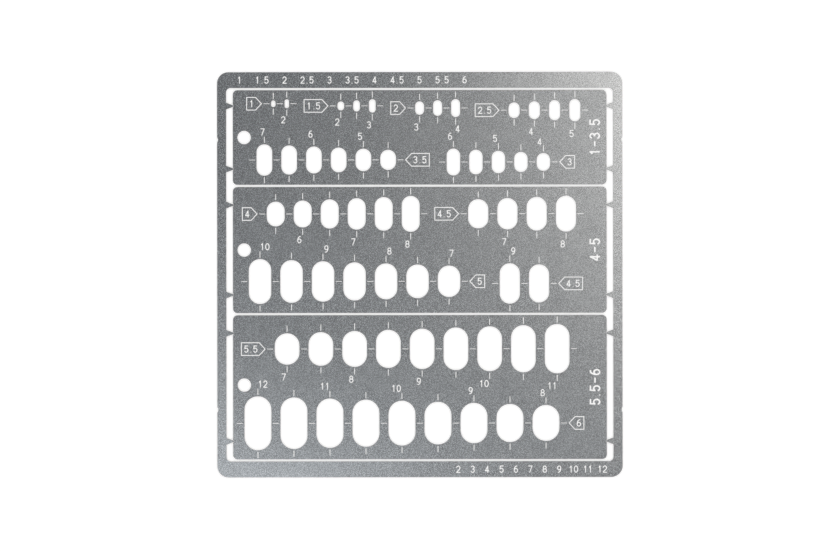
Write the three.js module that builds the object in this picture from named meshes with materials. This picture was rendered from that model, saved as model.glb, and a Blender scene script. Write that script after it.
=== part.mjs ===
// Oval template: one thin etched steel sheet, made of a carrier frame and three template
// plates that snap out of it. Each plate holds two rows of graded ovals.
// Millimetres, +Z up. The sheet lies flat with its marked face up, +Y points to the top rail,
// and the origin is the middle of the sheet's underside.

import * as THREE from "three";

// Sheet and carrier frame
const THICKNESS = 0.2;
const SIDE_RAIL = 2.0;
const END_RAIL = 3.5;
const SHEET_CORNER = 2.5;
const WINDOW_CORNER = 1.0;

// Slots that part the plates from the frame and from each other
const SIDE_GAP = 1.5;
const SLOT = 0.5;

// Pointed tabs of the frame, which hold a plate by their tips in shallow notches of its sides
const TAB_BASE = 1.5;
const TAB_TIP = 0.2;
const TAB_NOTCH_WIDTH = 0.7;
const TAB_NOTCH_DEPTH = 0.2;
const BREAK_GAP = 0.05;

// Notches in the sheet's sides, left where it was tied to its neighbours for etching
const TIE_NOTCH_WIDTH = 1.2;
const TIE_NOTCH_DEPTH = 0.2;
const TIE_NOTCH_INSET = 15.0;

// Plates: the web is the metal left between ovals, between a row's longest oval and the plate's
// edge, and between a group's end oval and the tip of its flag. The end strip is the bare metal
// right of the longest row. A label band is the metal between a plate's longest upper and lower
// ovals.
const PLATE_CORNER = 1.0;
const WEB = 2.0;
const END_STRIP = 5.75;
const SMALL_LABEL_BAND = 5.0;
const MEDIUM_LABEL_BAND = 6.0;
const LARGE_LABEL_BAND = 5.0;

// Heights of the tabs, from a plate's upper and lower edges
const SMALL_TAB_INSET = 3.5;
const MEDIUM_TAB_INSET = 4.0;
const LARGE_TAB_INSET = 4.0;

// Hang holes at the plates' left ends. The largest plate's one is a little above its middle.
const HANG_HOLE_DIAMETER = 3.0;
const HANG_HOLE_INSET = 2.5;
const LARGE_HANG_HOLE_RISE = 0.5;

// Ovals of one group have one width, and lengths that grow by one step. Widths are whole numbers of
// the same step. Every group has room for a flag that names its width, which is short for an even
// number of steps and long for an odd one.
const LENGTH_STEP = 0.5;
const SHORT_FLAG = 3.5;
const LONG_FLAG = 5.5;

// Metal from a plate's left side to the first flag of its upper row and the first oval of its
// lower row, and metal between groups
const SMALL_UPPER_MARGIN = 3.0;
const SMALL_LOWER_MARGIN = 5.25;
const MEDIUM_UPPER_MARGIN = 2.0;
const MEDIUM_LOWER_MARGIN = 3.5;
const LARGE_UPPER_MARGIN = 1.75;
const LARGE_LOWER_MARGIN = 2.5;
const GROUP_GAP = 3.25;
const SMALL_LOWER_GAP = 3.75;

// Widths and shortest lengths are counted in length steps. An upper row's flags are on the left of
// its groups, whose lengths grow to the right. A lower row is the other way round.
const TEMPLATES = [
  {
    name: "template_small",
    labelBand: SMALL_LABEL_BAND,
    tabInset: SMALL_TAB_INSET,
    hangHoleRise: 0,
    upper: {
      margin: SMALL_UPPER_MARGIN,
      gap: GROUP_GAP,
      groups: [
        { width: 2, shortest: 3, count: 2 },
        { width: 3, shortest: 4, count: 3 },
        { width: 4, shortest: 6, count: 3 },
        { width: 5, shortest: 7, count: 4 },
      ],
    },
    lower: {
      margin: SMALL_LOWER_MARGIN,
      gap: SMALL_LOWER_GAP,
      groups: [
        { width: 7, shortest: 9, count: 6 },
        { width: 6, shortest: 8, count: 5 },
      ],
    },
  },
  {
    name: "template_medium",
    labelBand: MEDIUM_LABEL_BAND,
    tabInset: MEDIUM_TAB_INSET,
    hangHoleRise: 0,
    upper: {
      margin: MEDIUM_UPPER_MARGIN,
      gap: GROUP_GAP,
      groups: [
        { width: 8, shortest: 11, count: 6 },
        { width: 9, shortest: 13, count: 4 },
      ],
    },
    lower: {
      margin: MEDIUM_LOWER_MARGIN,
      gap: GROUP_GAP,
      groups: [
        { width: 10, shortest: 14, count: 7 },
        { width: 9, shortest: 17, count: 2 },
      ],
    },
  },
  {
    name: "template_large",
    labelBand: LARGE_LABEL_BAND,
    tabInset: LARGE_TAB_INSET,
    hangHoleRise: LARGE_HANG_HOLE_RISE,
    upper: {
      margin: LARGE_UPPER_MARGIN,
      gap: GROUP_GAP,
      groups: [{ width: 11, shortest: 14, count: 9 }],
    },
    lower: {
      margin: LARGE_LOWER_MARGIN,
      gap: GROUP_GAP,
      groups: [{ width: 12, shortest: 16, count: 9 }],
    },
  },
];

// Each half turn of an oval and each quarter turn of a corner has twice this many facets
const ARC_DIVISIONS = 6;

const STEEL = new THREE.MeshStandardMaterial({ color: 0x8b8e90, roughness: 0.4, metalness: 1.0 });

function ovalWidth(group) {
  return group.width * LENGTH_STEP;
}

// Lengths of a group's ovals, from the shortest to the longest
function ovalLengths(group) {
  return Array.from({ length: group.count }, (_, i) => (group.shortest + i) * LENGTH_STEP);
}

function longestOf(group) {
  return Math.max(...ovalLengths(group));
}

function longestInRow(row) {
  return Math.max(...row.groups.map(longestOf));
}

function groupLength(group) {
  return group.count * (ovalWidth(group) + WEB) - WEB;
}

// Metal that a group's flag takes up, with the web at its tip
function flagRoom(group) {
  return (group.width % 2 === 0 ? SHORT_FLAG : LONG_FLAG) + WEB;
}

// Left side of each group's first oval, from the plate's left side. Edge is 1 for the upper row
// and -1 for the lower row.
function groupStarts(row, edge) {
  const starts = [];
  let x = row.margin;
  for (const group of row.groups) {
    x += edge > 0 ? flagRoom(group) : 0;
    starts.push(x);
    x += groupLength(group) + row.gap;
    x += edge < 0 ? flagRoom(group) : 0;
  }
  return starts;
}

// Length from the plate's left side to the last oval's right side
function rowLength(row, edge) {
  return groupStarts(row, edge).at(-1) + groupLength(row.groups.at(-1));
}

const plateWidth =
  Math.max(...TEMPLATES.flatMap((t) => [rowLength(t.upper, 1), rowLength(t.lower, -1)])) + END_STRIP;

function plateHeight(template) {
  return 2 * WEB + longestInRow(template.upper) + template.labelBand + longestInRow(template.lower);
}

const windowWidth = plateWidth + 2 * SIDE_GAP;
const windowHeight =
  TEMPLATES.reduce((sum, t) => sum + plateHeight(t) + SLOT, 0) + SLOT;

// Middle height of each plate in the sheet, from the top one down
const plateMiddles = [];
let plateTop = windowHeight / 2 - SLOT;
for (const template of TEMPLATES) {
  plateMiddles.push(plateTop - plateHeight(template) / 2);
  plateTop -= plateHeight(template) + SLOT;
}

// The two features below go on the upright sides of an outline that is drawn anticlockwise:
// side 1 is the right side, drawn upwards, and side -1 the left side, drawn downwards.

// A shallow round bite into the metal
function bite(y, width, depth) {
  const radius = (width * width / 4 + depth * depth) / (2 * depth);
  const halfAngle = Math.asin(width / 2 / radius);
  return {
    y,
    draw(path, side, edge) {
      const facing = side > 0 ? Math.PI : 0;
      const centre = side * (edge + radius - depth);
      path.absarc(centre, y, radius, facing + halfAngle, facing - halfAngle, true);
    },
  };
}

// A pointed tab that reaches into a window from its side
function tab(y, base, tip, reach) {
  return {
    y,
    draw(path, side, edge) {
      path.lineTo(side * edge, y - side * base / 2);
      path.lineTo(side * (edge - reach), y - side * tip / 2);
      path.lineTo(side * (edge - reach), y + side * tip / 2);
      path.lineTo(side * edge, y + side * base / 2);
    },
  };
}

// Rectangle with round corners, about its own middle, with the features on both its sides
function drawRectangle(path, width, height, corner, features) {
  const right = width / 2;
  const top = height / 2;
  const rising = [...features].sort((a, b) => a.y - b.y);
  const quarter = Math.PI / 2;
  path.absarc(right - corner, corner - top, corner, -quarter, 0, false);
  rising.forEach((feature) => feature.draw(path, 1, right));
  path.absarc(right - corner, top - corner, corner, 0, quarter, false);
  path.absarc(corner - right, top - corner, corner, quarter, 2 * quarter, false);
  rising.reverse().forEach((feature) => feature.draw(path, -1, right));
  path.absarc(corner - right, corner - top, corner, 2 * quarter, 3 * quarter, false);
  path.closePath();
  return path;
}

// Oval with full round ends, its long way along Y
function ovalHole(x, y, width, length) {
  const path = new THREE.Path();
  const rise = (length - width) / 2;
  path.absarc(x, y + rise, width / 2, 0, Math.PI, false);
  path.absarc(x, y - rise, width / 2, Math.PI, 2 * Math.PI, false);
  path.closePath();
  return path;
}

function roundHole(x, y, diameter) {
  const path = new THREE.Path();
  path.absarc(x, y, diameter / 2, 0, Math.PI, false);
  path.absarc(x, y, diameter / 2, Math.PI, 2 * Math.PI, false);
  path.closePath();
  return path;
}

// Ovals of one row: all of a group's ovals share one middle height, which leaves a web between its
// longest one and the row's edge of the plate.
function rowHoles(row, edge, height) {
  const starts = groupStarts(row, edge);
  return row.groups.flatMap((group, i) => {
    const width = ovalWidth(group);
    const lengths = edge > 0 ? ovalLengths(group) : ovalLengths(group).reverse();
    const first = starts[i] + width / 2 - plateWidth / 2;
    const y = edge * (height / 2 - WEB - longestOf(group) / 2);
    return lengths.map((length, k) => ovalHole(first + k * (width + WEB), y, width, length));
  });
}

function sheetMetal(name, shape) {
  const geometry = new THREE.ExtrudeGeometry(shape, {
    depth: THICKNESS,
    bevelEnabled: false,
    curveSegments: ARC_DIVISIONS,
  });
  const mesh = new THREE.Mesh(geometry, STEEL);
  mesh.name = name;
  return mesh;
}

// Heights of a plate's tabs, from the plate's own middle
function tabHeights(template) {
  const y = plateHeight(template) / 2 - template.tabInset;
  return [-y, y];
}

function carrierFrame() {
  const sheetWidth = windowWidth + 2 * SIDE_RAIL;
  const sheetHeight = windowHeight + 2 * END_RAIL;
  const tieHeight = sheetHeight / 2 - TIE_NOTCH_INSET;
  const ties = [-tieHeight, tieHeight].map((y) => bite(y, TIE_NOTCH_WIDTH, TIE_NOTCH_DEPTH));
  const shape = drawRectangle(new THREE.Shape(), sheetWidth, sheetHeight, SHEET_CORNER, ties);
  const reach = SIDE_GAP + TAB_NOTCH_DEPTH - BREAK_GAP;
  const tabs = TEMPLATES.flatMap((template, i) =>
    tabHeights(template).map((y) => tab(plateMiddles[i] + y, TAB_BASE, TAB_TIP, reach)));
  shape.holes.push(drawRectangle(new THREE.Path(), windowWidth, windowHeight, WINDOW_CORNER, tabs));
  return sheetMetal("carrier_frame", shape);
}

function templatePlate(template, middle) {
  const height = plateHeight(template);
  const notches = tabHeights(template).map((y) => bite(y, TAB_NOTCH_WIDTH, TAB_NOTCH_DEPTH));
  const shape = drawRectangle(new THREE.Shape(), plateWidth, height, PLATE_CORNER, notches);
  const hangX = HANG_HOLE_INSET - plateWidth / 2;
  shape.holes.push(roundHole(hangX, template.hangHoleRise, HANG_HOLE_DIAMETER));
  shape.holes.push(...rowHoles(template.upper, 1, height));
  shape.holes.push(...rowHoles(template.lower, -1, height));
  const plate = sheetMetal(template.name, shape);
  plate.position.y = middle;
  return plate;
}

const ovalTemplate = new THREE.Group();
ovalTemplate.add(carrierFrame());
TEMPLATES.forEach((template, i) => ovalTemplate.add(templatePlate(template, plateMiddles[i])));

export default ovalTemplate;
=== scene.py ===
"""Looks of the oval template: an etched steel sheet in a frame and three plates, with its marks."""

import math

import bmesh
import bpy
import numpy as np
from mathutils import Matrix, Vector
from mathutils.geometry import delaunay_2d_cdt


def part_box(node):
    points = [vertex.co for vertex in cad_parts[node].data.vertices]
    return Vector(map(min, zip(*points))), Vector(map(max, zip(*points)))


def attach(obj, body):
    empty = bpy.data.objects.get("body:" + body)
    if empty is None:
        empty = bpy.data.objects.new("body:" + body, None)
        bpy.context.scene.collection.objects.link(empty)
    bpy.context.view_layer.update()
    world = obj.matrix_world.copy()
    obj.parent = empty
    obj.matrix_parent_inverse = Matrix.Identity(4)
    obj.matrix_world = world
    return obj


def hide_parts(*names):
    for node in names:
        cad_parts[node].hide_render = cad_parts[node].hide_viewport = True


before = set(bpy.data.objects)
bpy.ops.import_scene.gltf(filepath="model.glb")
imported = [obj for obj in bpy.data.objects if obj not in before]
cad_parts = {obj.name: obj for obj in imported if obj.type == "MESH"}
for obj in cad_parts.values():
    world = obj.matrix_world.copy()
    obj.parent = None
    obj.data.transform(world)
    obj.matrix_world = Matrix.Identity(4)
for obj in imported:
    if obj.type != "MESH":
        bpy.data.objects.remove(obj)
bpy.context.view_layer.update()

# The drawing is in millimetres, in the frame's own X and Y. Meshes are in metres.
MM = 0.001

# Sheet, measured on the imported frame
sheet_low, sheet_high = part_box("carrier_frame")
SHEET_WIDTH = (sheet_high.x - sheet_low.x) / MM
SHEET_HEIGHT = (sheet_high.y - sheet_low.y) / MM
THICKNESS = (sheet_high.z - sheet_low.z) / MM

# Carrier frame
SIDE_RAIL = 2.0
END_RAIL = 3.5
SHEET_CORNER = 2.5
WINDOW_CORNER = 1.0
TAB_BASE = 1.5
TAB_TIP = 0.2
TAB_NOTCH_WIDTH = 0.7
TAB_NOTCH_DEPTH = 0.2
BREAK_GAP = 0.05
TIE_NOTCH_WIDTH = 1.2
TIE_NOTCH_DEPTH = 0.2
TIE_NOTCH_INSET = 15.0

# Plates
PLATE_CORNER = 1.0
WEB = 2.0
LENGTH_STEP = 0.5
GROUP_GAP = 3.25
WIDE_GROUP_GAP = 3.75
HANG_HOLE_DIAMETER = 3.0
HANG_HOLE_INSET = 2.5

# Which side of an oval's tick its length is marked on
LEFT = -1
RIGHT = 1

# Each row: metal left of its first flag or oval, gap between its groups, label side, and the groups
# as width, shortest length and count, both sizes counted in length steps. An upper row's flags are on
# the left of its groups, whose lengths grow to the right. A lower row is the other way round.
PLATES = {
    "template_small": {
        "body": "small_plate",
        "tab_inset": 3.5,
        "hang_hole_rise": 0.0,
        "range": "1-3.5",
        "upper": (3.0, GROUP_GAP, LEFT, [(2, 3, 2), (3, 4, 3), (4, 6, 3), (5, 7, 4)]),
        "lower": (5.25, WIDE_GROUP_GAP, LEFT, [(7, 9, 6), (6, 8, 5)]),
    },
    "template_medium": {
        "body": "medium_plate",
        "tab_inset": 4.0,
        "hang_hole_rise": 0.0,
        "range": "4-5",
        "upper": (2.0, GROUP_GAP, LEFT, [(8, 11, 6), (9, 13, 4)]),
        "lower": (3.5, GROUP_GAP, RIGHT, [(10, 14, 7), (9, 17, 2)]),
    },
    "template_large": {
        "body": "large_plate",
        "tab_inset": 4.0,
        "hang_hole_rise": 0.5,
        "range": "5.5-6",
        "upper": (1.75, GROUP_GAP, LEFT, [(11, 14, 9)]),
        "lower": (2.5, GROUP_GAP, LEFT, [(12, 16, 9)]),
    },
}

# Half-etched marks: ticks round every oval, a flag with the width of every group, and lengths
MARK_DEPTH = 0.03
UPRIGHT_STROKE = 0.16
WEB_STROKE = 0.125
TICK_LENGTH = 1.35
FLAG_STROKE = 0.185
FLAG_HEIGHT = 3.0
FLAG_POINT = 1.4
FLAG_TEXT_SHIFT = 0.15
# By how many characters the text has
FLAG_LENGTHS = {1: 3.5, 3: 5.5}
LABEL_SHIFTS = {1: 0.75, 2: 1.1}
LABEL_DROP = 1.05
# Labels with places of their own: the oval's width and length, and the shift and drop from its tick
LABEL_PLACES = {
    (1.0, 2.0): (-0.8, 0.9),
    (1.5, 2.0): (-0.8, 0.9),
    (2.0, 4.0): (0.45, 0.95),
    (3.0, 4.0): (-0.85, 0.8),
    (3.5, 7.0): (-0.4, LABEL_DROP),
    (5.0, 7.0): (0.55, LABEL_DROP),
    (5.5, 10.0): (-1.25, LABEL_DROP),
    (6.0, 10.0): (-1.25, LABEL_DROP),
    (6.0, 12.0): (LABEL_SHIFTS[2], LABEL_DROP),
}

# Digits
DIGIT_STROKE = 0.2
DIGIT_WIDTH = 0.97
DIGIT_HEIGHT = 1.6
DIGIT_ADVANCE = 1.1
POINT_ADVANCE = 0.9
DASH_ADVANCE = 1.3
# Width of a decimal point, as a share of the stroke
POINT_SHARE = 0.85

# Plain numbers on the end rails and the plates' right ends
END_NUMBER_SCALE = 1.5
END_NUMBER_STROKE = 0.34
END_NUMBER_INSET = 2.6
TOP_NUMBERS_START = 5.0
TOP_NUMBERS_PITCH = 5.0
BOTTOM_NUMBERS_START = 53.5
BOTTOM_NUMBERS_PITCH = 3.2

# Rounding of the etched edges, and facets of round forms
EDGE_ROUND = 0.03
EDGE_STEPS = 2
HALF_TURN_STEPS = 32
CORNER_STEPS = 12
CAP_STEPS = 4
CURVE_STEPS = 10
LONG_CURVE_STEPS = 12
RING_STEPS = 16
MERGE_DISTANCE = 1e-5

# Steel: detail of its noise, strength of its grain's relief, and its slow clouds, which have a size
# in millimetres and a share of the colour's range
NOISE_DETAIL = 3.0
RELIEF_STRENGTH = 0.5
CLOUD_SIZE = 4
CLOUD_SHARE = 0.2
# How each thin piece is shown bent, by a bump on its shading while its mesh stays flat: its slopes along X
# and Y at the sheet's middle, and its bends along X and Y, each one over a radius in metres
BENDS = {
    "carrier_frame": (-0.001, -0.008, 0.75, 0.11),
    "template_small": (-0.001, 0.005, 0.1, 0.0),
    "template_medium": (0.004, -0.001, 0.1, 0.16),
    "template_large": (-0.002, 0.015, 0.0, 0.53),
}

# Floor: its drop below the sheet in millimetres, its side in metres, its colour, and the white added
# to it for the camera and in reflections
FLOOR_DROP = 0.05
FLOOR_SIZE = 4.0
FLOOR_GREY = 0.8
FLOOR_LIFT = 0.28

# Brightness of the room by height: the sine of the angle above the horizon, and the level
ROOM_LEVELS = [(0.0, 1.12), (0.75, 1.12), (0.92, 0.26)]

# Soft round lamps: bearing from +X, angle from overhead and radius in degrees, brightness and tint
WARM = (1.08, 1.0, 0.92, 1)
NEUTRAL = (1.0, 1.0, 1.0, 1)
KEY_LAMP = (24, 18.5, 16.5, 3, WARM)
FILL_LAMP = (243, 19.5, 15.5, 3, NEUTRAL)

# Camera: the image's size and where the sheet's middle lies in it, in pixels, and the lens
IMAGE_WIDTH = 828
IMAGE_HEIGHT = 552
SHEET_MIDDLE_X = 419.80
SHEET_MIDDLE_Y = 274.59
PIXELS_PER_MM = 4.5017
CAMERA_ROLL = -0.0013
LENS = 85.0
SENSOR = 36.0


# Outlines, all drawn anticlockwise

def arc(x, y, radius, start, end, steps):
    """Points of an arc with both its ends, from start to end in degrees."""
    angles = np.radians(np.linspace(start, end, steps + 1))
    return [(x + radius * math.cos(a), y + radius * math.sin(a)) for a in angles]


def bite(y, width, depth):
    """A shallow round bite into an upright side. Side 1 is the right one, drawn upwards, and -1 the left."""
    radius = (width * width / 4 + depth * depth) / (2 * depth)
    half = math.degrees(math.asin(width / 2 / radius))

    def draw(side, edge):
        facing = 180 if side > 0 else 0
        return arc(side * (edge + radius - depth), y, radius, facing + half, facing - half, CORNER_STEPS)

    return y, draw


def tab(y, base, tip, reach):
    """A pointed tab that reaches into a window from an upright side."""

    def draw(side, edge):
        return [
            (side * edge, y - side * base / 2),
            (side * (edge - reach), y - side * tip / 2),
            (side * (edge - reach), y + side * tip / 2),
            (side * edge, y + side * base / 2),
        ]

    return y, draw


def rectangle(width, height, corner, features):
    """A rectangle with round corners about the origin, with the features on both its upright sides."""
    right = width / 2
    top = height / 2
    rising = sorted(features, key=lambda feature: feature[0])
    points = arc(right - corner, corner - top, corner, -90, 0, CORNER_STEPS)
    for _, draw in rising:
        points += draw(1, right)
    points += arc(right - corner, top - corner, corner, 0, 90, CORNER_STEPS)
    points += arc(corner - right, top - corner, corner, 90, 180, CORNER_STEPS)
    for _, draw in reversed(rising):
        points += draw(-1, right)
    points += arc(corner - right, corner - top, corner, 180, 270, CORNER_STEPS)
    return points


def oval(x, y, width, length):
    """An oval with full round ends, its long way along Y. With both sizes the same it is a circle."""
    rise = (length - width) / 2
    upper = arc(x, y + rise, width / 2, 0, 180, HALF_TURN_STEPS)
    lower = arc(x, y - rise, width / 2, 180, 360, HALF_TURN_STEPS)
    return upper + lower if rise > 0 else upper[:-1] + lower[:-1]


def moved(points, x, y):
    """The points moved in the plane."""
    return [(px + x, py + y) for px, py in points]


def inset(points, distance):
    """The outline moved to its left by a distance, with sharp corners kept."""
    p = np.array(points)
    ahead = np.roll(p, -1, 0) - p
    ahead /= np.linalg.norm(ahead, axis=1)[:, None]
    normal_out = np.stack([-ahead[:, 1], ahead[:, 0]], 1)
    normal_in = np.roll(normal_out, 1, 0)
    share = 1 + (normal_in * normal_out).sum(1)
    return p + distance * (normal_in + normal_out) / share[:, None]


# Strokes. A mark is an outer outline and, where it is a ring, an inner one.

def open_stroke(points, width):
    """A line of the given width along the points, with round ends."""
    p = np.array(points, float)
    ahead = np.diff(p, axis=0)
    ahead /= np.linalg.norm(ahead, axis=1)[:, None]
    normal = np.stack([-ahead[:, 1], ahead[:, 0]], 1)
    first = np.vstack([normal[:1], normal])
    last = np.vstack([normal, normal[-1:]])
    offset = (first + last) / (1 + (first * last).sum(1))[:, None] * width / 2
    end_angle = math.degrees(math.atan2(ahead[-1, 1], ahead[-1, 0]))
    start_angle = math.degrees(math.atan2(ahead[0, 1], ahead[0, 0]))
    end_cap = arc(*p[-1], width / 2, end_angle - 90, end_angle + 90, CAP_STEPS)[1:-1]
    start_cap = arc(*p[0], width / 2, start_angle + 90, start_angle + 270, CAP_STEPS)[1:-1]
    right = [tuple(q) for q in p - offset]
    left = [tuple(q) for q in (p + offset)[::-1]]
    return right + end_cap + left + start_cap, None


def closed_stroke(points, width):
    """A ring of the given width along a closed line."""
    outer = [tuple(q) for q in inset(points, -width / 2)]
    inner = [tuple(q) for q in inset(points, width / 2)]
    return outer, inner


def bar(x0, y0, x1, y1, width):
    """A straight stroke with square ends."""
    start = np.array([x0, y0])
    end = np.array([x1, y1])
    across = np.array([y0 - y1, x1 - x0])
    across = across / np.linalg.norm(across) * width / 2
    return [tuple(q) for q in (start - across, end - across, end + across, start + across)], None


# Digits. Their lines lie in a square from -1 to 1, and each says whether it is closed.

def curve(x, y, half_width, half_height, start, end, steps=CURVE_STEPS):
    """Points of an arc of an ellipse, from start to end in degrees."""
    return [(x + half_width * u, y + half_height * v) for u, v in arc(0, 0, 1, start, end, steps)]


def ring(x, y, half_width, half_height):
    """A closed line round an ellipse."""
    return curve(x, y, half_width, half_height, 0, 360, RING_STEPS)[:-1], True


def line(*points):
    """An open line."""
    return list(points), False


DIGIT_LINES = {
    "0": [ring(0, 0, 1, 1)],
    "1": [line((-0.55, 0.6), (0.05, 1)), line((0.05, 1), (0.05, -1))],
    "2": [line(*curve(0, 0.4, 0.95, 0.6, 165, -28), (-1, -1)), line((-1, -1), (1, -1))],
    "3": [line(*curve(-0.05, 0.53, 0.9, 0.47, 155, -90)), line(*curve(-0.05, -0.47, 1, 0.53, 90, -155))],
    "4": [line((0.4, -1), (0.4, 1)), line((0.4, 1), (-1, -0.5)), line((-1, -0.5), (1, -0.5))],
    "5": [
        line((0.85, 1), (-0.75, 1), (-0.85, 0.05)),
        line(*curve(-0.05, -0.35, 1, 0.65, 143, -150, LONG_CURVE_STEPS)),
    ],
    "6": [ring(0, -0.38, 0.95, 0.62), line(*curve(0.35, -0.38, 1.3, 1.38, 180, 80))],
    "7": [line((-1, 1), (0.95, 1)), line((0.95, 1), (-0.35, -1))],
    "8": [ring(0, 0.52, 0.85, 0.48), ring(0, -0.46, 1, 0.54)],
    "9": [ring(0, 0.38, 0.95, 0.62), line(*curve(-0.35, 0.38, 1.3, 1.38, 0, -100))],
    "-": [line((-0.8, 0), (0.8, 0))],
    ".": [line((-0.05, -1), (0.05, -1))],
}


def number(text, x, y, scale=1.0, stroke=DIGIT_STROKE, upright=False):
    """Marks of a plain number centred at a point. An upright one reads from the bottom to the top."""
    advances = [{".": POINT_ADVANCE, "-": DASH_ADVANCE}.get(c, DIGIT_ADVANCE) * scale for c in text]
    half_width = (DIGIT_WIDTH * scale - stroke) / 2
    half_height = (DIGIT_HEIGHT * scale - stroke) / 2
    pen = -sum(advances) / 2
    marks = []
    for character, advance in zip(text, advances):
        middle = pen + advance / 2
        pen += advance
        width = stroke * POINT_SHARE if character == "." else stroke
        for points, closed in DIGIT_LINES[character]:
            flat = [(middle + half_width * u, half_height * v) for u, v in points]
            placed = [(x - v, y + u) if upright else (x + u, y + v) for u, v in flat]
            draw = closed_stroke if closed else open_stroke
            marks.append(draw(placed, width))
    return marks


def plain(value):
    """A number as text, without needless zeros."""
    return "%g" % value


# Rows of ovals with their marks

def flag(width, tip, y, pointing):
    """The pentagon that names a group's width. Its tip is at the given x, and it points to side 1 or -1."""
    text = plain(width)
    back = tip - pointing * FLAG_LENGTHS[len(text)]
    shoulder = tip - pointing * FLAG_POINT
    half = FLAG_HEIGHT / 2
    outline = [(back, y - half), (shoulder, y - half), (tip, y), (shoulder, y + half), (back, y + half)]
    if pointing < 0:
        outline.reverse()
    inner = [tuple(q) for q in inset(outline, FLAG_STROKE)]
    text_x = (back + shoulder) / 2 + pointing * FLAG_TEXT_SHIFT
    return [(outline, inner)] + number(text, text_x, y)


def tick(x, y, toward_x, toward_y):
    """A tick in the middle of the web that starts at a point of an oval's edge and runs along one axis."""
    near = (WEB - TICK_LENGTH) / 2
    far = near + TICK_LENGTH
    stroke = WEB_STROKE if toward_x else UPRIGHT_STROKE
    return bar(x + near * toward_x, y + near * toward_y, x + far * toward_x, y + far * toward_y, stroke)


def label(width, length, side, x, tick_end, edge):
    """The number of a length, beyond the inner end of its oval's tick and to one side of it."""
    text = plain(length)
    shift, drop = LABEL_PLACES.get((width, length), (side * LABEL_SHIFTS[len(text)], LABEL_DROP))
    return number(text, x + shift, tick_end - edge * drop)


def row_of_ovals(row, edge, left, edge_y):
    """Holes and marks of one row. Edge is 1 for the upper row and -1 for the lower row."""
    margin, gap, side, groups = row
    holes = []
    marks = []
    left += margin
    for width_steps, shortest, count in groups:
        width = width_steps * LENGTH_STEP
        lengths = [(shortest + i) * LENGTH_STEP for i in range(count)]
        flag_room = FLAG_LENGTHS[len(plain(width))] + WEB
        y = edge_y - edge * (WEB + lengths[-1] / 2)
        if edge > 0:
            left += flag_room
            marks += flag(width, left - WEB, y, 1)
        marks.append(tick(left, y, -1, 0))
        for length in lengths[::edge]:
            x = left + width / 2
            holes.append(oval(x, y, width, length))
            marks.append(tick(x, y + length / 2, 0, 1))
            marks.append(tick(x, y - length / 2, 0, -1))
            marks.append(tick(left + width, y, 1, 0))
            if length == int(length):
                tick_end = y - edge * (length + WEB + TICK_LENGTH) / 2
                marks += label(width, length, side, x, tick_end, edge)
            left += width + WEB
        if edge < 0:
            marks += flag(width, left, y, -1)
            left += flag_room
        left += gap - WEB
    return holes, marks


# Meshes

def inside(points, outline):
    """Which of the points lie in a closed outline."""
    hit = np.zeros(len(points), bool)
    corners = np.array(outline)
    near = np.where(((points >= corners.min(0)) & (points <= corners.max(0))).all(1))[0]
    x = points[near, 0]
    y = points[near, 1]
    found = np.zeros(len(near), bool)
    for (x0, y0), (x1, y1) in zip(corners, np.roll(corners, -1, 0)):
        if y0 != y1:
            crosses = (y0 > y) != (y1 > y)
            found ^= crosses & (x < x0 + (y - y0) * (x1 - x0) / (y1 - y0))
    hit[near] = found
    return hit


def triangulate(outlines):
    """Points and triangles of the plane with every outline as edges, and the place of each given point."""
    points = []
    edges = []
    for outline in outlines:
        start = len(points)
        count = len(outline)
        points += [Vector((float(px), float(py))) for px, py in outline]
        edges += [(start + i, start + (i + 1) % count) for i in range(count)]
    found, _, faces, origins, _, _ = delaunay_2d_cdt(points, edges, [], 0, MERGE_DISTANCE)
    place = {source: at for at, sources in enumerate(origins) for source in sources}
    return np.array([tuple(p) for p in found]), np.array(faces), place


def metal_triangles(points, triangles, contours):
    """The triangles inside the first contour and outside the others, with their middles."""
    middles = points[triangles].mean(1)
    metal = inside(middles, contours[0])
    for hole in contours[1:]:
        metal &= ~inside(middles, hole)
    return triangles[metal], middles[metal]


def in_marks(middles, marks):
    """Which of the points lie in a mark."""
    marked = np.zeros(len(middles), bool)
    for outline, hollow in marks:
        hit = inside(middles, outline)
        if hollow is not None:
            hit &= ~inside(middles, hollow)
        marked |= hit
    return marked


def drop_loose_points(mesh):
    """Deletes the points that no face uses."""
    work = bmesh.new()
    work.from_mesh(mesh)
    loose = [v for v in work.verts if not v.link_faces]
    bmesh.ops.delete(work, geom=loose, context="VERTS")
    work.to_mesh(mesh)
    work.free()


class Sheet:
    """Collects the points and faces of one piece of sheet metal, in millimetres."""

    FACE, MARK, EDGE = range(3)

    def __init__(self):
        self.points = []
        self.faces = []
        self.materials = []

    def add_points(self, flat, z):
        """Adds points of the plane at one height, and returns the place of the first."""
        start = len(self.points)
        self.points += [(px, py, z) for px, py in flat]
        return start

    def add_face(self, corners, material):
        """Adds one face."""
        self.faces.append([int(c) for c in corners])
        self.materials.append(material)

    def add_band(self, upper, lower):
        """Adds the faces between two loops of as many points, whose metal is on their left."""
        count = len(upper)
        for i in range(count):
            j = (i + 1) % count
            self.add_face((upper[j], upper[i], lower[i], lower[j]), self.EDGE)

    def mesh(self, name, materials):
        """The finished mesh, in metres."""
        mesh = bpy.data.meshes.new(name)
        mesh.from_pydata([(px * MM, py * MM, pz * MM) for px, py, pz in self.points], [], self.faces)
        for material in materials:
            mesh.materials.append(material)
        mesh.polygons.foreach_set("material_index", self.materials)
        mesh.polygons.foreach_set("use_smooth", [m == self.EDGE for m in self.materials])
        mesh.validate()
        mesh.update()
        drop_loose_points(mesh)
        return mesh


def edge_profile():
    """Setback and height of each loop of the rounded edge, from the top face to the underside."""
    turns = [math.radians(90 * i / EDGE_STEPS) for i in range(EDGE_STEPS + 1)]
    top = [(EDGE_ROUND * (1 - math.sin(t)), THICKNESS - EDGE_ROUND * (1 - math.cos(t))) for t in turns]
    return top + [(setback, THICKNESS - z) for setback, z in reversed(top)]


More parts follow.
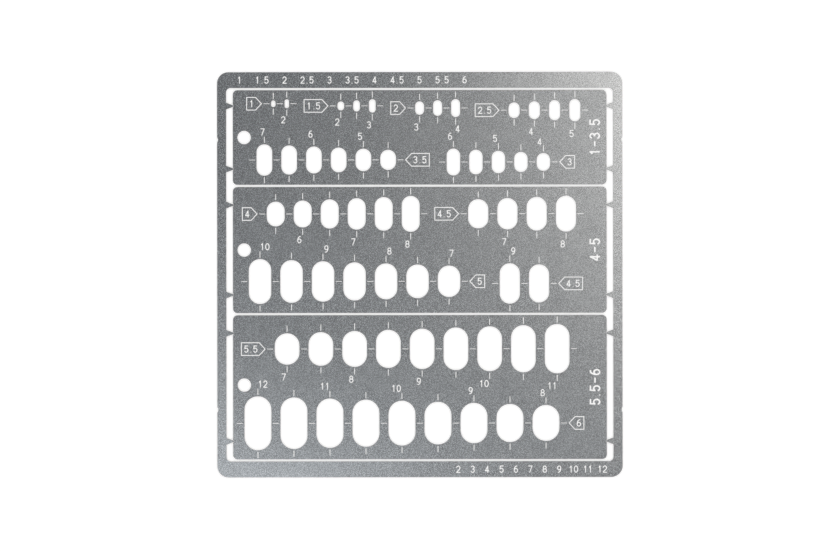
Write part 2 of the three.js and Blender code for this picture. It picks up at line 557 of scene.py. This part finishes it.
def add_marked_face(sheet, contours, marks):
    """Adds the top face, with the floors and walls of its marks. Returns where each contour point is."""
    outlines = [outline for mark in marks for outline in mark if outline is not None]
    flat, triangles, place = triangulate(contours + outlines)
    triangles, middles = metal_triangles(flat, triangles, contours)
    top = sheet.add_points(flat, THICKNESS)
    floor = sheet.add_points(flat, THICKNESS - MARK_DEPTH)
    sides = {}
    for corners, marked in zip(triangles, in_marks(middles, marks)):
        sheet.add_face(corners + (floor if marked else top), Sheet.MARK if marked else Sheet.FACE)
        for a, b in zip(corners, np.roll(corners, -1)):
            sides[(int(a), int(b))] = bool(marked)
    for (a, b), marked in sides.items():
        if marked and sides.get((b, a)) is False:
            sheet.add_face((top + a, top + b, floor + b, floor + a), Sheet.MARK)
    return {source: top + at for source, at in place.items()}


def add_underside(sheet, contours):
    """Adds the plain underside. Returns where each contour point is."""
    flat, triangles, place = triangulate(contours)
    triangles, _ = metal_triangles(flat, triangles, contours)
    under = sheet.add_points(flat, 0.0)
    for corners in triangles:
        sheet.add_face(corners[::-1] + under, Sheet.FACE)
    return {source: under + at for source, at in place.items()}


def add_edges(sheet, profile, loops, top_places, under_places):
    """Adds the rounded edges round the outline and every hole."""
    start = 0
    for which, contour in enumerate(loops[0]):
        count = len(contour)
        rings = [[top_places[start + i] for i in range(count)]]
        for (_, z), loop in zip(profile[1:-1], loops[1:-1]):
            first = sheet.add_points(loop[which], z)
            rings.append(list(range(first, first + count)))
        rings.append([under_places[start + i] for i in range(count)])
        for upper, lower in zip(rings, rings[1:]):
            sheet.add_band(upper, lower)
        start += count


def sheet_piece(name, body, outer, holes, marks, materials):
    """One piece of sheet metal with rounded edges and half-etched marks, on its body."""
    contours = [outer] + [hole[::-1] for hole in holes]
    profile = edge_profile()
    loops = [[inset(contour, setback) for contour in contours] for setback, _ in profile]
    sheet = Sheet()
    top_places = add_marked_face(sheet, loops[0], marks)
    under_places = add_underside(sheet, loops[-1])
    add_edges(sheet, profile, loops, top_places, under_places)
    piece = bpy.data.objects.new(name, sheet.mesh(name, materials))
    bpy.context.scene.collection.objects.link(piece)
    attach(piece, body)
    return piece


def plate_box(node):
    """Lowest and highest corners of a plate, in millimetres."""
    return [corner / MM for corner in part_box(node)]


def plate_piece(node, materials):
    """A template plate with its ovals, hang hole and marks."""
    spec = PLATES[node]
    low, high = plate_box(node)
    middle = (low + high) / 2
    size = high - low
    tab_rise = size.y / 2 - spec["tab_inset"]
    notches = [bite(y, TAB_NOTCH_WIDTH, TAB_NOTCH_DEPTH) for y in (-tab_rise, tab_rise)]
    outer = moved(rectangle(size.x, size.y, PLATE_CORNER, notches), middle.x, middle.y)
    hang_y = middle.y + spec["hang_hole_rise"]
    holes = [oval(low.x + HANG_HOLE_INSET, hang_y, HANG_HOLE_DIAMETER, HANG_HOLE_DIAMETER)]
    number_x = high.x - END_NUMBER_INSET
    marks = number(spec["range"], number_x, middle.y, END_NUMBER_SCALE, END_NUMBER_STROKE, upright=True)
    for row, edge, edge_y in ((spec["upper"], 1, high.y), (spec["lower"], -1, low.y)):
        row_holes, row_marks = row_of_ovals(row, edge, low.x, edge_y)
        holes += row_holes
        marks += row_marks
    piece = sheet_piece(node + "_plate", spec["body"], outer, holes, marks, materials)
    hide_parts(node)


def frame_window():
    """The frame's window, with the tabs that hold the plates."""
    width = SHEET_WIDTH - 2 * SIDE_RAIL
    height = SHEET_HEIGHT - 2 * END_RAIL
    tabs = []
    for node, spec in PLATES.items():
        low, high = plate_box(node)
        reach = width / 2 - high.x + TAB_NOTCH_DEPTH - BREAK_GAP
        for y in (low.y + spec["tab_inset"], high.y - spec["tab_inset"]):
            tabs.append(tab(y, TAB_BASE, TAB_TIP, reach))
    return rectangle(width, height, WINDOW_CORNER, tabs)


def rail_numbers():
    """Plain rows of numbers on the end rails: every width above, and twice every width below."""
    rows = [spec[row] for spec in PLATES.values() for row in ("upper", "lower")]
    widths = sorted({group[0] * LENGTH_STEP for row in rows for group in row[-1]})
    rail_y = SHEET_HEIGHT / 2 - END_RAIL / 2
    left = -SHEET_WIDTH / 2
    marks = []
    for i, width in enumerate(widths):
        marks += number(plain(width), left + TOP_NUMBERS_START + i * TOP_NUMBERS_PITCH, rail_y)
    for i, width in enumerate(widths):
        marks += number(plain(2 * width), left + BOTTOM_NUMBERS_START + i * BOTTOM_NUMBERS_PITCH, -rail_y)
    return marks


def frame_piece(materials):
    """The carrier frame with its tabs, its outer notches and the numbers on its end rails."""
    tie_rise = SHEET_HEIGHT / 2 - TIE_NOTCH_INSET
    ties = [bite(y, TIE_NOTCH_WIDTH, TIE_NOTCH_DEPTH) for y in (-tie_rise, tie_rise)]
    outer = rectangle(SHEET_WIDTH, SHEET_HEIGHT, SHEET_CORNER, ties)
    piece = sheet_piece("frame_sheet", "frame", outer, [frame_window()], rail_numbers(), materials)
    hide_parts("carrier_frame")


# Materials

def new_material(name):
    """A material with its nodes, links and main shader."""
    material = bpy.data.materials.new(name)
    material.use_nodes = True
    nodes = material.node_tree.nodes
    return material, nodes, material.node_tree.links, nodes["Principled BSDF"]


def noise(nodes, links, size, place):
    """Noise with features of a size in millimetres."""
    node = nodes.new("ShaderNodeTexNoise")
    node.inputs["Scale"].default_value = 1 / (size * MM)
    node.inputs["Detail"].default_value = NOISE_DETAIL
    links.new(place, node.inputs["Vector"])
    return node.outputs["Fac"]


def map_range(nodes, links, value, source, target):
    """Maps one range of a value to another."""
    node = nodes.new("ShaderNodeMapRange")
    node.inputs["From Min"].default_value = source[0]
    node.inputs["From Max"].default_value = source[1]
    node.inputs["To Min"].default_value = target[0]
    node.inputs["To Max"].default_value = target[1]
    links.new(value, node.inputs["Value"])
    return node.outputs["Result"]


def with_clouds(nodes, links, fine, place):
    """The fine grain with a share of slow clouds about it."""
    clouds = nodes.new("ShaderNodeMath")
    clouds.operation = "MULTIPLY_ADD"
    links.new(noise(nodes, links, CLOUD_SIZE, place), clouds.inputs[0])
    clouds.inputs[1].default_value = CLOUD_SHARE
    lowered = map_range(nodes, links, fine, (0, 1), (-CLOUD_SHARE / 2, 1 - CLOUD_SHARE / 2))
    links.new(lowered, clouds.inputs[2])
    return clouds.outputs["Value"]


def tinted(nodes, links, dark, light, value):
    """A colour between two, by a value from 0 to 1."""
    node = nodes.new("ShaderNodeMix")
    node.data_type = "RGBA"
    node.inputs["A"].default_value = (*dark, 1)
    node.inputs["B"].default_value = (*light, 1)
    links.new(value, node.inputs["Factor"])
    return node.outputs["Result"]


def bump(nodes, links, height, distance=1.0, strength=1.0, normal=None):
    """The normal of a height, where a height of 1 is the distance in metres, on top of another normal."""
    node = nodes.new("ShaderNodeBump")
    node.inputs["Distance"].default_value = distance
    node.inputs["Strength"].default_value = strength
    links.new(height, node.inputs["Height"])
    if normal is not None:
        links.new(normal, node.inputs["Normal"])
    return node.outputs["Normal"]


def bend_height(nodes, links, place, tilt_x, tilt_y, bend_x, bend_y):
    """Height of a thin sheet that doesn't lie quite flat."""
    slope = nodes.new("ShaderNodeVectorMath")
    slope.operation = "MULTIPLY_ADD"
    links.new(place, slope.inputs[0])
    slope.inputs[1].default_value = (-bend_x / 2, -bend_y / 2, 0)
    slope.inputs[2].default_value = (-tilt_x, -tilt_y, 0)
    height = nodes.new("ShaderNodeVectorMath")
    height.operation = "DOT_PRODUCT"
    links.new(place, height.inputs[0])
    links.new(slope.outputs["Vector"], height.inputs[1])
    return height.outputs["Value"]


def grainy_material(name, dark, light, metallic, roughness, grain, contrast, relief, bend=None):
    """A surface whose colour, roughness and height vary with a fine grain, and its colour with clouds."""
    material, nodes, links, shader = new_material(name)
    place = nodes.new("ShaderNodeTexCoord").outputs["Object"]
    raw = noise(nodes, links, grain, place)
    fine = map_range(nodes, links, raw, (0.5 - contrast, 0.5 + contrast), (0, 1))
    shade = with_clouds(nodes, links, fine, place)
    links.new(tinted(nodes, links, dark, light, shade), shader.inputs["Base Color"])
    links.new(map_range(nodes, links, fine, (0, 1), roughness), shader.inputs["Roughness"])
    bent = bump(nodes, links, bend_height(nodes, links, place, *bend)) if bend else None
    links.new(bump(nodes, links, fine, relief * MM, RELIEF_STRENGTH, bent), shader.inputs["Normal"])
    shader.inputs["Metallic"].default_value = metallic
    return material


def face_steel(node):
    """Bare steel, with a bump that shows one piece's slight bend on its flat mesh."""
    return grainy_material(
        "steel_" + node,
        dark=(0.195, 0.207, 0.221),
        light=(0.60, 0.638, 0.67),
        metallic=1.0,
        roughness=(0.21, 0.29),
        grain=0.12,
        contrast=0.16,
        relief=0.001,
        bend=BENDS[node],
    )


def mark_steel():
    """The pale matt ground of half-etched marks."""
    return grainy_material(
        "half_etched_steel",
        dark=(0.90, 0.90, 0.90),
        light=(0.97, 0.97, 0.97),
        metallic=0.0,
        roughness=(0.65, 0.85),
        grain=0.08,
        contrast=0.25,
        relief=0.002,
    )


def edge_steel():
    """The darker, rougher steel of etched edges."""
    return grainy_material(
        "etched_edge",
        dark=(0.20, 0.205, 0.21),
        light=(0.32, 0.325, 0.33),
        metallic=1.0,
        roughness=(0.4, 0.6),
        grain=0.06,
        contrast=0.25,
        relief=0.004,
    )


# Stage

def white_for_eye_and_gloss(nodes, links):
    """1 for rays from the camera, from gloss and through glass, and otherwise 0."""
    path = nodes.new("ShaderNodeLightPath")
    total = path.outputs["Is Camera Ray"]
    for name in ("Is Glossy Ray", "Is Transmission Ray"):
        node = nodes.new("ShaderNodeMath")
        node.operation = "MAXIMUM"
        links.new(total, node.inputs[0])
        links.new(path.outputs[name], node.inputs[1])
        total = node.outputs["Value"]
    return total


def floor_material():
    """A matt white that shows shadows."""
    material, nodes, links, shader = new_material("floor_white")
    shader.inputs["Base Color"].default_value = (FLOOR_GREY, FLOOR_GREY, FLOOR_GREY, 1)
    shader.inputs["Roughness"].default_value = 1.0
    shader.inputs["Specular IOR Level"].default_value = 0.0
    shader.inputs["Emission Color"].default_value = (1, 1, 1, 1)
    lift = nodes.new("ShaderNodeMath")
    lift.operation = "MULTIPLY"
    links.new(white_for_eye_and_gloss(nodes, links), lift.inputs[0])
    lift.inputs[1].default_value = FLOOR_LIFT
    links.new(lift.outputs["Value"], shader.inputs["Emission Strength"])
    return material


def make_floor():
    """The plain floor that the sheet lies on."""
    half = FLOOR_SIZE / 2
    z = -FLOOR_DROP * MM
    corners = [(-half, -half, z), (half, -half, z), (half, half, z), (-half, half, z)]
    mesh = bpy.data.meshes.new("floor")
    mesh.from_pydata(corners, [], [(0, 1, 2, 3)])
    mesh.materials.append(floor_material())
    floor = bpy.data.objects.new("floor", mesh)
    bpy.context.scene.collection.objects.link(floor)


def room_light(nodes, links, direction):
    """A room that is white all round and dark overhead."""
    split = nodes.new("ShaderNodeSeparateXYZ")
    links.new(direction, split.inputs[0])
    ramp = nodes.new("ShaderNodeValToRGB")
    ramp.color_ramp.interpolation = "EASE"
    stops = ramp.color_ramp.elements
    while len(stops) < len(ROOM_LEVELS):
        stops.new(1.0)
    for stop, (height, level) in zip(stops, ROOM_LEVELS):
        stop.position = height
        stop.color = (level, level, level, 1)
    links.new(split.outputs["Z"], ramp.inputs["Fac"])
    node = nodes.new("ShaderNodeBackground")
    links.new(ramp.outputs["Color"], node.inputs["Color"])
    return node.outputs["Background"]


def lamp_light(nodes, links, direction, bearing, tilt, radius, brightness, tint):
    """A round lamp that fades from its middle to its rim."""
    bearing = math.radians(bearing)
    tilt = math.radians(tilt)
    flat = math.sin(tilt)
    nearness = nodes.new("ShaderNodeVectorMath")
    nearness.operation = "DOT_PRODUCT"
    links.new(direction, nearness.inputs[0])
    nearness.inputs[1].default_value = (flat * math.cos(bearing), flat * math.sin(bearing), math.cos(tilt))
    angle = nodes.new("ShaderNodeMath")
    angle.operation = "ARCCOSINE"
    links.new(nearness.outputs["Value"], angle.inputs[0])
    level = nodes.new("ShaderNodeMapRange")
    level.interpolation_type = "SMOOTHSTEP"
    level.inputs["From Max"].default_value = math.radians(radius)
    level.inputs["To Min"].default_value = brightness
    level.inputs["To Max"].default_value = 0.0
    links.new(angle.outputs["Value"], level.inputs["Value"])
    node = nodes.new("ShaderNodeBackground")
    node.inputs["Color"].default_value = tint
    links.new(level.outputs["Result"], node.inputs["Strength"])
    return node.outputs["Background"]


def make_world():
    """The room with its lamps, which is all the light there is."""
    world = bpy.data.worlds.new("room")
    bpy.context.scene.world = world
    world.use_nodes = True
    nodes = world.node_tree.nodes
    links = world.node_tree.links
    nodes.clear()
    direction = nodes.new("ShaderNodeTexCoord").outputs["Generated"]
    light = room_light(nodes, links, direction)
    for lamp in (KEY_LAMP, FILL_LAMP):
        both = nodes.new("ShaderNodeAddShader")
        links.new(light, both.inputs[0])
        links.new(lamp_light(nodes, links, direction, *lamp), both.inputs[1])
        light = both.outputs["Shader"]
    output = nodes.new("ShaderNodeOutputWorld")
    links.new(light, output.inputs["Surface"])


def make_camera():
    """A camera straight above, with the sheet where the photograph has it."""
    data = bpy.data.cameras.new("camera")
    data.lens = LENS
    data.sensor_width = SENSOR
    camera = bpy.data.objects.new("camera", data)
    field = IMAGE_WIDTH / PIXELS_PER_MM
    right = (IMAGE_WIDTH / 2 - SHEET_MIDDLE_X) / PIXELS_PER_MM
    up = (SHEET_MIDDLE_Y - IMAGE_HEIGHT / 2) / PIXELS_PER_MM
    height = THICKNESS + field * LENS / SENSOR
    camera.location = (right * MM, up * MM, height * MM)
    camera.rotation_euler = (0, 0, CAMERA_ROLL)
    bpy.context.scene.collection.objects.link(camera)
    bpy.context.scene.camera = camera


# Scene

bpy.context.scene.view_settings.view_transform = "Standard"
mark_material = mark_steel()
edge_material = edge_steel()
frame_piece([face_steel("carrier_frame"), mark_material, edge_material])
for plate_node in PLATES:
    plate_piece(plate_node, [face_steel(plate_node), mark_material, edge_material])
make_floor()
make_world()
make_camera()
